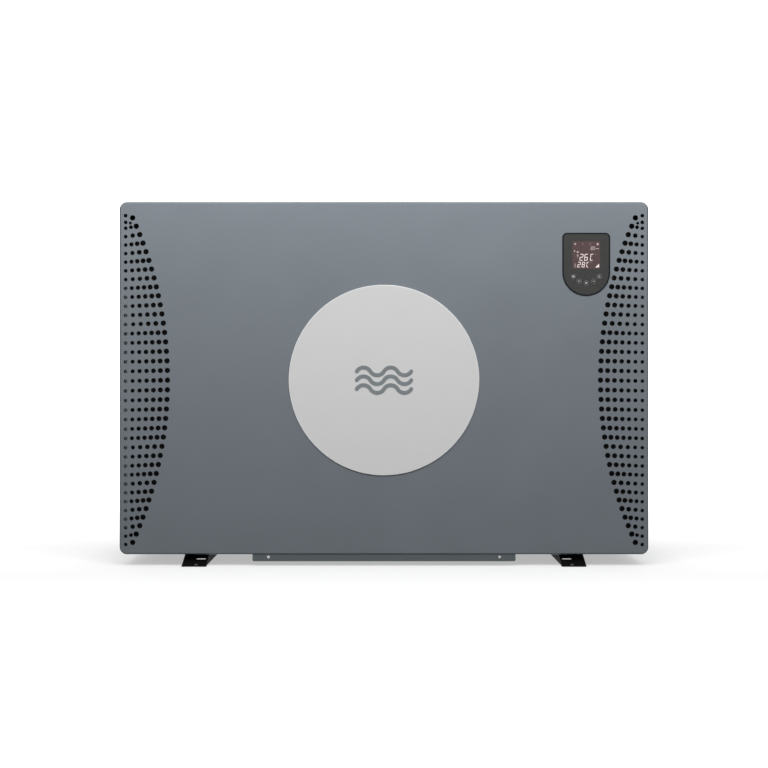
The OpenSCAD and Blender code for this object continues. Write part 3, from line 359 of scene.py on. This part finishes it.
def smoothing_group(angle):
    """Geometry nodes that join split vertices and shade smooth, up to an angle in degrees."""
    group = bpy.data.node_groups.new("smooth_by_angle", "GeometryNodeTree")
    group.interface.new_socket("Geometry", in_out="INPUT", socket_type="NodeSocketGeometry")
    group.interface.new_socket("Geometry", in_out="OUTPUT", socket_type="NodeSocketGeometry")
    add = group.nodes.new
    start, end = add("NodeGroupInput"), add("NodeGroupOutput")
    merge = add("GeometryNodeMergeByDistance")
    merge.inputs["Distance"].default_value = 2e-6
    faces = add("GeometryNodeSetShadeSmooth")
    edges = add("GeometryNodeSetShadeSmooth")
    edges.domain = "EDGE"
    edges.inputs["Shade Smooth"].default_value = False
    bend = add("GeometryNodeInputMeshEdgeAngle")
    sharp = add("FunctionNodeCompare")
    sharp.inputs["B"].default_value = math.radians(angle)
    link = group.links.new
    link(start.outputs[0], merge.inputs["Geometry"])
    link(merge.outputs["Geometry"], faces.inputs["Geometry"])
    link(faces.outputs["Geometry"], edges.inputs["Geometry"])
    link(bend.outputs["Unsigned Angle"], sharp.inputs["A"])
    link(sharp.outputs["Result"], edges.inputs["Selection"])
    link(edges.outputs["Geometry"], end.inputs[0])
    return group


SMOOTH = smoothing_group(32)


def soften(piece, bevel=0.0):
    """Smooth shading that keeps flat faces flat, and a small rounding of the edges."""
    shade = piece.modifiers.new("smooth", "NODES")
    shade.node_group = SMOOTH
    if bevel:
        flat = piece.modifiers.new("flat_faces", "DECIMATE")
        flat.decimate_type = "DISSOLVE"
        flat.angle_limit = math.radians(0.5)
        edge = piece.modifiers.new("edges", "BEVEL")
        edge.width = bevel
        edge.segments = 2
        edge.limit_method = "ANGLE"
        edge.angle_limit = math.radians(35)
    weigh = piece.modifiers.new("weighted", "WEIGHTED_NORMAL")
    weigh.keep_sharp = True
    weigh.weight = 90


# Millimetres of rounding on a node's edges; none on the others
BEVELS = {
    "front_strip": 0.3, "strip_screws": 0.15, "top_cover": 0.4, "right_side_panel": 0.3,
    "terminal_cover": 0.3, "side_handles": 0.5, "drain_nozzle": 0.5,
    "foot_rail_left": 0.5, "foot_rail_right": 0.5,
    "foot_pads": 0.3, "foot_bolts": 0.3, "rear_service_panel": 0.3, "control_bezel": 0.4,
    "control_face": 0.15, "fan_nut": 0.3, "heat_sink": 0.2, "flow_switch": 0.6,
    "inlet_union_nut": 0.6, "outlet_union_nut": 0.6, "union_tails": 0.5, "cable_glands": 0.5,
    "key_1": 0.25, "key_2": 0.25, "key_3": 0.25, "key_4": 0.25, "key_5": 0.25,
    "electrical_box": 0.2, "expansion_valve": 0.5, "four_way_valve": 0.4,
}


def dress_cad_nodes():
    for subpart in frame["record"]["subparts"]:
        cad = frame["nodes"][subpart["node"]]
        surface = NODE_SURFACES.get(subpart["node"], SLOT_SURFACES[subpart["material_slot"]])
        cad.data.materials.clear()
        cad.data.materials.append(surface.material)
        soften(cad, BEVELS.get(subpart["node"], 0) * MM)


# ---- Mesh helpers for the detail pieces ----

def piece_from(bm, name, surface, body):
    """Turns a bmesh in the row frame into a piece that rides on a body."""
    bmesh.ops.recalc_face_normals(bm, faces=bm.faces)
    mesh = bpy.data.meshes.new(name)
    bm.to_mesh(mesh)
    bm.free()
    made = bpy.data.objects.new(name, mesh)
    bpy.context.scene.collection.objects.link(made)
    mesh.materials.append(surface.material)
    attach(made, body)
    return made


def add_box(bm, low, high):
    corners = [bm.verts.new((x, y, z)) for x in (low[0], high[0]) for y in (low[1], high[1])
               for z in (low[2], high[2])]
    for quad in ((0, 1, 3, 2), (4, 6, 7, 5), (0, 4, 5, 1), (2, 3, 7, 6), (0, 2, 6, 4), (1, 5, 7, 3)):
        bm.faces.new([corners[i] for i in quad])


def add_plate(bm, outline, y, thickness):
    """A closed plate from an outline of (x, z) points, its front at y."""
    front = [bm.verts.new((x, y, z)) for x, z in outline]
    back = [bm.verts.new((x, y + thickness, z)) for x, z in outline]
    bm.faces.new(front)
    bm.faces.new(list(reversed(back)))
    for i in range(len(outline)):
        j = (i + 1) % len(outline)
        bm.faces.new((front[i], back[i], back[j], front[j]))


def circle_points(x, z, radius, count):
    return [(x + radius * math.cos(2 * math.pi * i / count), z + radius * math.sin(2 * math.pi * i / count))
            for i in range(count)]


def add_ring(bm, x, z, radius, width, y, thickness, count=48):
    """A flat closed ring, front at y."""
    loops = [[bm.verts.new((px, py, pz)) for px, pz in circle_points(x, z, r, count)]
             for r, py in ((radius, y), (radius - width, y), (radius - width, y + thickness),
                           (radius, y + thickness))]
    for a, b in zip(loops, loops[1:] + loops[:1]):
        for i in range(count):
            j = (i + 1) % count
            bm.faces.new((a[i], a[j], b[j], b[i]))


def add_tube(bm, points, radius, sides=10):
    """A closed round tube through points."""
    points = [Vector(p) for p in points]
    rings = []
    normal = None
    for i, p in enumerate(points):
        ahead = (points[min(i + 1, len(points) - 1)] - points[max(i - 1, 0)]).normalized()
        if normal is None:
            normal = ahead.orthogonal().normalized()
        normal = (normal - ahead * normal.dot(ahead)).normalized()
        across = ahead.cross(normal)
        rings.append([bm.verts.new(p + (normal * math.cos(2 * math.pi * k / sides)
                                        + across * math.sin(2 * math.pi * k / sides)) * radius)
                      for k in range(sides)])
    for a, b in zip(rings, rings[1:]):
        for k in range(sides):
            m = (k + 1) % sides
            bm.faces.new((a[k], a[m], b[m], b[k]))
    bm.faces.new(rings[0])
    bm.faces.new(list(reversed(rings[-1])))


# ---- Evaporator: real fins and the tubes that pass through them ----

FIN_PITCH = 2.4 * MM
FIN_T = 0.5 * MM
FIN_INSET = 0.5 * MM
COIL_T = 40 * MM
COIL_BEND = 60 * MM
TUBE_ROWS = 24
TUBE_PITCH = 24 * MM
TUBE_DEPTHS = (10 * MM, 30 * MM)
TUBE_R = 4.2 * MM
TUBE_END = 0.6 * MM
BEND_STEPS = 8


def coil_fins():
    """Fins along the rear, round the corner and along the left side, and the tubes through them."""
    bm = bmesh.new()
    z0, z1 = fins_low.z, fins_high.z
    back, left = fins_high.y, fins_low.x
    bend = Vector((left + COIL_BEND, back - COIL_BEND, 0))
    for i in range(int((fins_high.x - bend.x) / FIN_PITCH)):
        x = fins_high.x - FIN_INSET - i * FIN_PITCH
        add_box(bm, (x - FIN_T, back - COIL_T, z0), (x, back, z1))
    for i in range(int((bend.y - fins_low.y) / FIN_PITCH)):
        y = fins_low.y + FIN_INSET + i * FIN_PITCH
        add_box(bm, (left, y, z0), (left + COIL_T, y + FIN_T, z1))
    steps = int(math.pi / 2 * (COIL_BEND - COIL_T / 2) / FIN_PITCH)
    for i in range(1, steps):
        turn = Matrix.Rotation(-math.pi / 2 * i / steps, 4, "Z")
        before = len(bm.verts)
        add_box(bm, (-COIL_BEND, 0, z0), (-COIL_BEND + COIL_T, FIN_T, z1))
        bm.verts.ensure_lookup_table()
        for v in bm.verts[before:]:
            v.co = turn @ v.co + bend
    fins = piece_from(bm, "coil_fins", coil_blue, CABINET)
    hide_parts("evaporator_fins")

    bm = bmesh.new()
    for row in range(TUBE_ROWS):
        z = z0 + (row + 0.5) * TUBE_PITCH
        for depth in TUBE_DEPTHS:
            r = COIL_BEND - depth
            path = [(fins_high.x + TUBE_END, back - depth, z)]
            path += [(bend.x - r * math.sin(a), bend.y + r * math.cos(a), z)
                     for a in (math.pi / 2 * k / BEND_STEPS for k in range(BEND_STEPS + 1))]
            path.append((left + depth, fins_low.y - TUBE_END, z))
            add_tube(bm, path, TUBE_R, 8)
    # The fins' collars cover the tubes from one fin to the next
    tubes = piece_from(bm, "coil_tubes", coil_blue, CABINET)
    soften(tubes)


# ---- Rear grille: welded round wires in a flat frame ----

WIRE_R = 1.5 * MM
WIRE_SINK = 0.3 * MM
WIRE_LAP = 2 * MM
MESH_WIDTH = 22 * MM
MESH_HEIGHT = 44 * MM
GRILLE_EDGE = 16 * MM
GRILLE_T = 3 * MM


def rear_grille():
    bm = bmesh.new()
    low, high = grille_low, grille_high
    left, right = low.x + GRILLE_EDGE, high.x - GRILLE_EDGE
    foot, head = low.z + GRILLE_EDGE, high.z - GRILLE_EDGE
    front = high.y - GRILLE_T
    for x0, x1 in ((low.x, left), (right, high.x)):
        add_box(bm, (x0, front, low.z), (x1, high.y, high.z))
    for z0, z1 in ((low.z, foot), (head, high.z)):
        add_box(bm, (left, front, z0), (right, high.y, z1))
    y_upright = high.y - WIRE_R
    y_level = y_upright - 2 * WIRE_R + WIRE_SINK
    columns = round((right - left) / MESH_WIDTH)
    for i in range(1, columns):
        x = left + (right - left) * i / columns
        add_tube(bm, [(x, y_upright, foot - WIRE_LAP), (x, y_upright, head + WIRE_LAP)], WIRE_R)
    rows = round((head - foot) / MESH_HEIGHT)
    for i in range(1, rows):
        z = foot + (head - foot) * i / rows
        add_tube(bm, [(left - WIRE_LAP, y_level, z), (right + WIRE_LAP, y_level, z)], WIRE_R)
    grille = piece_from(bm, "rear_grille_wires", grille_paint, CABINET)
    soften(grille)
    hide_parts("rear_grille")


# ---- Controller: display segments, icons and key legends ----

GLYPH_LIFT = 0.05 * MM
GLYPH_T = 0.08 * MM
GLYPH_Y = window_low.y - GLYPH_LIFT
BAR_GAP = 0.14
SEGMENTS = {"2": "abged", "6": "acdefg", "8": "abcdefg", "0": "abcdef", "C": "adef"}


def in_window(x, z):
    """A place in the display window, from millimetres off its lower left corner."""
    return window_low.x + x * MM, window_low.z + z * MM


def add_shape(bm, outline, y=GLYPH_Y):
    add_plate(bm, outline, y, GLYPH_T)


def add_dot(bm, x, z, radius):
    add_shape(bm, circle_points(*in_window(x, z), radius * MM, 20))


def add_outline(bm, points):
    add_shape(bm, [in_window(x, z) for x, z in points])


def add_bar(bm, left, bottom, right, top):
    add_outline(bm, [(left, bottom), (right, bottom), (right, top), (left, top)])


def add_digit(bm, left, bottom, width, height, digit, stroke, slant=0.13):
    """A seven-segment digit, all in millimetres in the window."""
    x, z = in_window(left, bottom)
    width, height, t = width * MM, height * MM, stroke * MM
    half = height / 2
    bars = {
        "a": ((0, height - t), (width, height)), "g": ((0, half - t / 2), (width, half + t / 2)),
        "d": ((0, 0), (width, t)), "f": ((0, half), (t, height)), "b": ((width - t, half), (width, height)),
        "e": ((0, 0), (t, half)), "c": ((width - t, 0), (width, half)),
    }
    for name in SEGMENTS[digit]:
        (x0, z0), (x1, z1) = bars[name]
        gap = t * BAR_GAP
        if x1 - x0 > z1 - z0:
            x0, x1 = x0 + gap, x1 - gap
            points = [(x0 + t / 2, z0), (x1 - t / 2, z0), (x1, (z0 + z1) / 2), (x1 - t / 2, z1),
                      (x0 + t / 2, z1), (x0, (z0 + z1) / 2)]
        else:
            z0, z1 = z0 + gap, z1 - gap
            points = [(x0, z0 + t / 2), ((x0 + x1) / 2, z0), (x1, z0 + t / 2), (x1, z1 - t / 2),
                      ((x0 + x1) / 2, z1), (x0, z1 - t / 2)]
        add_shape(bm, [(x + px + pz * slant, z + pz) for px, pz in points])


def display_glyphs():
    """What the display shows: places and sizes are in millimetres in its window."""
    bm = bmesh.new()
    # Water temperature, and under it the set temperature
    for digit, left, width in (("2", 12.6, 6.2), ("6", 21.0, 6.2), ("C", 31.6, 5.4)):
        add_digit(bm, left, 15.1, width, 12.2, digit, 1.2)
    for digit, left, width in (("2", 8.7, 5.6), ("8", 16.6, 5.4), ("C", 25.0, 4.0)):
        add_digit(bm, left, 2.9, width, 9.9, digit, 1.1)
    # Signal bars
    for i in range(5):
        left = 41.6 + 1.42 * i
        add_bar(bm, left, 2.7, left + 1.2, 3.5 + 1.35 * i)
    piece_from(bm, "display_lit_segments", glyph_white, CABINET)

    bm = bmesh.new()
    # Upper corners: a loudspeaker and a lit dot
    add_outline(bm, [(3.4, 44.4), (4.6, 44.4), (6.3, 43.0), (6.3, 47.4), (4.6, 46.2), (3.4, 46.2)])
    add_dot(bm, 45.9, 45.1, 1.9)
    # Drop and wave over the temperatures, and the share of full power
    add_outline(bm, [(2.4, 32.2), (3.2, 31.2), (4.6, 31.2), (5.4, 32.2), (4.0, 34.2)])
    add_outline(bm, [(7.6, 29.6), (12.0, 29.6), (12.2, 30.4), (9.2, 32.4), (7.8, 31.6)])
    add_digit(bm, 33.0, 34.4, 3.1, 6.6, "8", 0.75)
    add_digit(bm, 37.2, 34.4, 3.1, 6.6, "0", 0.75)
    add_bar(bm, 42.0, 36.3, 46.4, 37.3)
    add_dot(bm, 47.3, 36.8, 0.9)
    piece_from(bm, "display_soft_icons", glyph_soft, CABINET)

    bm = bmesh.new()
    # Lamp, thermometer, and the degree dots
    add_dot(bm, 9.7, 24.6, 1.9)
    add_bar(bm, 9.0, 20.4, 10.4, 22.2)
    add_bar(bm, 4.2, 4.6, 5.9, 10.0)
    add_dot(bm, 5.05, 4.3, 1.4)
    add_dot(bm, 42.3, 26.6, 0.7)
    add_dot(bm, 33.2, 12.0, 0.7)
    piece_from(bm, "display_faint_icons", glyph_faint, CABINET)

    bm = bmesh.new()
    # Two signs along the top that aren't lit
    add_dot(bm, 18.7, 45.3, 1.4)
    add_dot(bm, 32.2, 45.3, 1.7)
    piece_from(bm, "display_unlit_icons", glyph_unlit, CABINET)


KEY_RING_R = 4.5 * MM
KEY_RING_W = 0.55 * MM


def key_legend(index):
    """A ring and a small sign printed on one key's cap."""
    low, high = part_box(f"key_{index}")
    x, z = (low.x + high.x) / 2, (low.z + high.z) / 2
    y = low.y - GLYPH_LIFT

    def sign(*points):
        add_shape(bm, [(x + px * MM, z + pz * MM) for px, pz in points], y)

    bm = bmesh.new()
    add_ring(bm, x, z, KEY_RING_R, KEY_RING_W, y, GLYPH_T)
    piece_from(bm, f"key_{index}_ring", ring_grey, f"key_{index}")
    bm = bmesh.new()
    if index == 1:
        sign((-2.3, -0.7), (2.3, -0.7), (2.3, 0.7), (-2.3, 0.7))
        for side in (-1, 1):
            sign((-1.5, side * 1.5), (1.5, side * 1.5), (1.1, side * 2.0), (-1.1, side * 2.0))
    elif index in (2, 4):
        tip = 1 if index == 4 else -1
        sign((-1.9, -tip * 0.6), (0, tip * 0.9), (1.9, -tip * 0.6))
    elif index == 3:
        add_ring(bm, x, z, 1.7 * MM, 0.5 * MM, y, GLYPH_T, 32)
        add_shape(bm, circle_points(x, z, 0.8 * MM, 16), y)
    else:
        add_ring(bm, x, z, 2.0 * MM, 0.3 * MM, y, GLYPH_T, 32)
        sign((-0.55, -0.7), (0.55, -0.7), (0.55, 0.9), (-0.55, 0.9))
    piece_from(bm, f"key_{index}_sign", sign_grey, f"key_{index}")


# ---- Feet: a rubber button at the tip of each front toe ----

TOE_SLOPE = 0.285
BUTTON_R = 3.5 * MM
BUTTON_H = 1.6 * MM
BUTTON_BACK = 4.5 * MM
BUTTON_SHIFT = 3.5 * MM
BUTTON_SINK = 0.4 * MM


def toe_buttons():
    bm = bmesh.new()
    pads_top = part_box("foot_pads")[1].z
    lean = math.atan(TOE_SLOPE)
    for name, shift in (("foot_rail_left", BUTTON_SHIFT), ("foot_rail_right", -BUTTON_SHIFT)):
        low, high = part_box(name)
        place = Matrix.Translation(((low.x + high.x) / 2 + shift, low.y + BUTTON_BACK,
                                    pads_top + TOE_SLOPE * BUTTON_BACK)) @ Matrix.Rotation(lean, 4, "X")
        profile = ((BUTTON_R, -BUTTON_SINK), (BUTTON_R, 0.6 * BUTTON_H), (0.8 * BUTTON_R, BUTTON_H))
        rings = [[bm.verts.new(place @ Vector((px, py, up))) for px, py in circle_points(0, 0, radius, 24)]
                 for radius, up in profile]
        for a, b in zip(rings, rings[1:]):
            for i in range(len(a)):
                j = (i + 1) % len(a)
                bm.faces.new((a[i], a[j], b[j], b[i]))
        bm.faces.new(list(reversed(rings[0])))
        bm.faces.new(rings[-1])
    buttons = piece_from(bm, "toe_buttons", rubber_grey, CABINET)
    soften(buttons)


dress_cad_nodes()
coil_fins()
rear_grille()
display_glyphs()
for key_index in range(1, 6):
    key_legend(key_index)
toe_buttons()


# ---- Floor, light and camera ----

FLOOR_SHARE = 0.48
FLOOR_GLOW = 0.445
FAR_GLOW = 1.1
GLOW_NEAR, GLOW_FAR = 0.15, 1.6
FRONT_MARGIN = 0.9
# Painted light: extra glow on the floor beside the unit, ending at the front of its shadow
BESIDE_GLOW = 0.11
BESIDE_NEAR, BESIDE_FAR = 0.44, 0.58
SHADOW_FRONT, SHADOW_BACK = -0.35, -0.1
COVE_BEND = 2.5


def cove_profile(depth, height, lift=0.0):
    """A floor that bends up into a wall, as (distance, height) points."""
    return [(depth - COVE_BEND + COVE_BEND * math.sin(a), COVE_BEND - COVE_BEND * math.cos(a) + lift)
            for a in (math.pi / 2 * k / 12 for k in range(13))] + [(depth, height)]


def stage_piece(name, rows, surface):
    """A smooth sheet from rows of places, seen by the camera but lighting nothing."""
    bm = bmesh.new()
    rows = [[bm.verts.new(place) for place in row] for row in rows]
    for here, there in zip(rows, rows[1:]):
        for i in range(len(here) - 1):
            bm.faces.new((here[i], here[i + 1], there[i + 1], there[i]))
    mesh = bpy.data.meshes.new(name)
    bm.to_mesh(mesh)
    bm.free()
    mesh.materials.append(surface.material)
    for face in mesh.polygons:
        face.use_smooth = True
    piece = bpy.data.objects.new(name, mesh)
    bpy.context.scene.collection.objects.link(piece)
    piece.visible_diffuse = False
    piece.visible_glossy = False
    return piece


def floor_paint():
    """Pale, with a little glow of its own that fades the floor to white away from the unit; the lower glow
    near and under the unit is painted shade, and the extra glow beside it is painted light.
    """
    made = Surface("floor_pale", (FLOOR_SHARE,) * 3, 0.8, Specular_IOR_Level=0.0)
    made.mottle(0.006, 0.8)
    made.shader.inputs["Emission Color"].default_value = (1, 1, 1, 1)
    place = made.split_place()
    before = made.math("MULTIPLY", place["Y"], -1.0)
    beside = made.math("ABSOLUTE", place["X"])
    around = made.math("SUBTRACT", made.math("MAXIMUM", before, beside), FRONT_MARGIN)
    away = made.math("MAXIMUM", place["Y"], around)
    glow = made.range(away, GLOW_NEAR, GLOW_FAR, FLOOR_GLOW, FAR_GLOW)
    # Painted light beside the unit that stops where its shadow begins
    painted_light_beside_shadow = made.math("MULTIPLY", made.range(beside, BESIDE_NEAR, BESIDE_FAR, 0.0, BESIDE_GLOW),
                              made.range(place["Y"], SHADOW_FRONT, SHADOW_BACK))
    made.link(made.math("ADD", glow, painted_light_beside_shadow), made.shader.inputs["Emission Strength"])
    return made


def stage_floor():
    """A pale cove behind the unit, and a wall round the other sides that lets the sky's light in."""
    pale = floor_paint()
    half_width, front, back = 14.0, -12.0, 16.0
    outline = [(front, 0.0)] + cove_profile(depth=back, height=8.0)
    stage_piece("floor", [[(x, y, z) for y, z in outline] for x in (half_width, -half_width)], pale)
    # The wall runs forward on the right, round the front in a half circle, and back on the left
    stations = [(back - 1, 0.0)] + [(0.0, -math.pi * k / 48) for k in range(49)] + [(back - 1, -math.pi)]
    profile = cove_profile(depth=11.5, height=12.0, lift=1 * MM)
    rows = [[(r * math.cos(a), y + r * math.sin(a), z) for r, z in profile] for y, a in stations]
    wall = stage_piece("surround", rows, pale)
    wall.visible_shadow = False


def soft_light(name, place, target, size, watts):
    data = bpy.data.lights.new(name, "AREA")
    data.shape = "RECTANGLE"
    data.size, data.size_y = size
    data.energy = watts
    made = bpy.data.objects.new(name, data)
    made.location = place
    made.rotation_euler = (Vector(target) - Vector(place)).to_track_quat("-Z", "Y").to_euler()
    bpy.context.scene.collection.objects.link(made)


# The sky's brightness at the sine of a height above the horizon
SKY_STOPS = ((-1.0, 0.02), (-0.06, 0.05), (0.1, 1.08), (0.5, 0.6), (0.75, 0.25), (1.0, 0.12))
BEHIND = 1.12
BEHIND_FROM, BEHIND_TO = -0.5, 0.8
SKY_STRENGTH = 0.9
LIGHT_BEFORE_FACE = 1.6


def studio():
    """Soft light from in front. The world is a bright band above the horizon, dark overhead and low."""
    world = bpy.data.worlds.new("studio")
    bpy.context.scene.world = world
    world.use_nodes = True
    tree = world.node_tree
    add, link = tree.nodes.new, tree.links.new
    place = add("ShaderNodeTexCoord")
    apart = add("ShaderNodeSeparateXYZ")
    link(place.outputs["Generated"], apart.inputs["Vector"])
    height = add("ShaderNodeMapRange")
    height.inputs["From Min"].default_value = -1
    link(apart.outputs["Z"], height.inputs["Value"])
    ramp = add("ShaderNodeValToRGB")
    for index, (level, value) in enumerate(SKY_STOPS):
        stops = ramp.color_ramp.elements
        stop = stops[index] if index < 2 else stops.new(1.0)
        stop.position = (level + 1) / 2
        stop.color = (value, value, value, 1)
    link(height.outputs["Result"], ramp.inputs["Fac"])
    behind = add("ShaderNodeMapRange")
    behind.inputs["From Min"].default_value = BEHIND_FROM
    behind.inputs["From Max"].default_value = BEHIND_TO
    link(apart.outputs["Y"], behind.inputs["Value"])
    mix = add("ShaderNodeMix")
    mix.data_type = "RGBA"
    link(behind.outputs["Result"], mix.inputs[0])
    link(ramp.outputs["Color"], mix.inputs[6])
    mix.inputs[7].default_value = (BEHIND, BEHIND, BEHIND, 1)
    sky = tree.nodes["Background"]
    link(mix.outputs[2], sky.inputs["Color"])
    sky.inputs["Strength"].default_value = SKY_STRENGTH
    soft_light("front_box", place=(0, FACE_Y - LIGHT_BEFORE_FACE, 1.78), target=(0, FACE_Y, 0.45),
               size=(2.6, 0.8), watts=51.5)
    bpy.context.scene.view_settings.view_transform = "Standard"


CAMERA_DISTANCE = 3.0
CAMERA_HEIGHT = 0.331
VIEW_WIDTH = 1.3966


def camera():
    data = bpy.data.cameras.new("camera")
    data.lens = data.sensor_width * CAMERA_DISTANCE / VIEW_WIDTH
    made = bpy.data.objects.new("camera", data)
    made.location = (0, FACE_Y - CAMERA_DISTANCE, CAMERA_HEIGHT)
    made.rotation_euler = (math.pi / 2, 0, 0)
    bpy.context.scene.collection.objects.link(made)
    bpy.context.scene.camera = made


stage_floor()
studio()
camera()
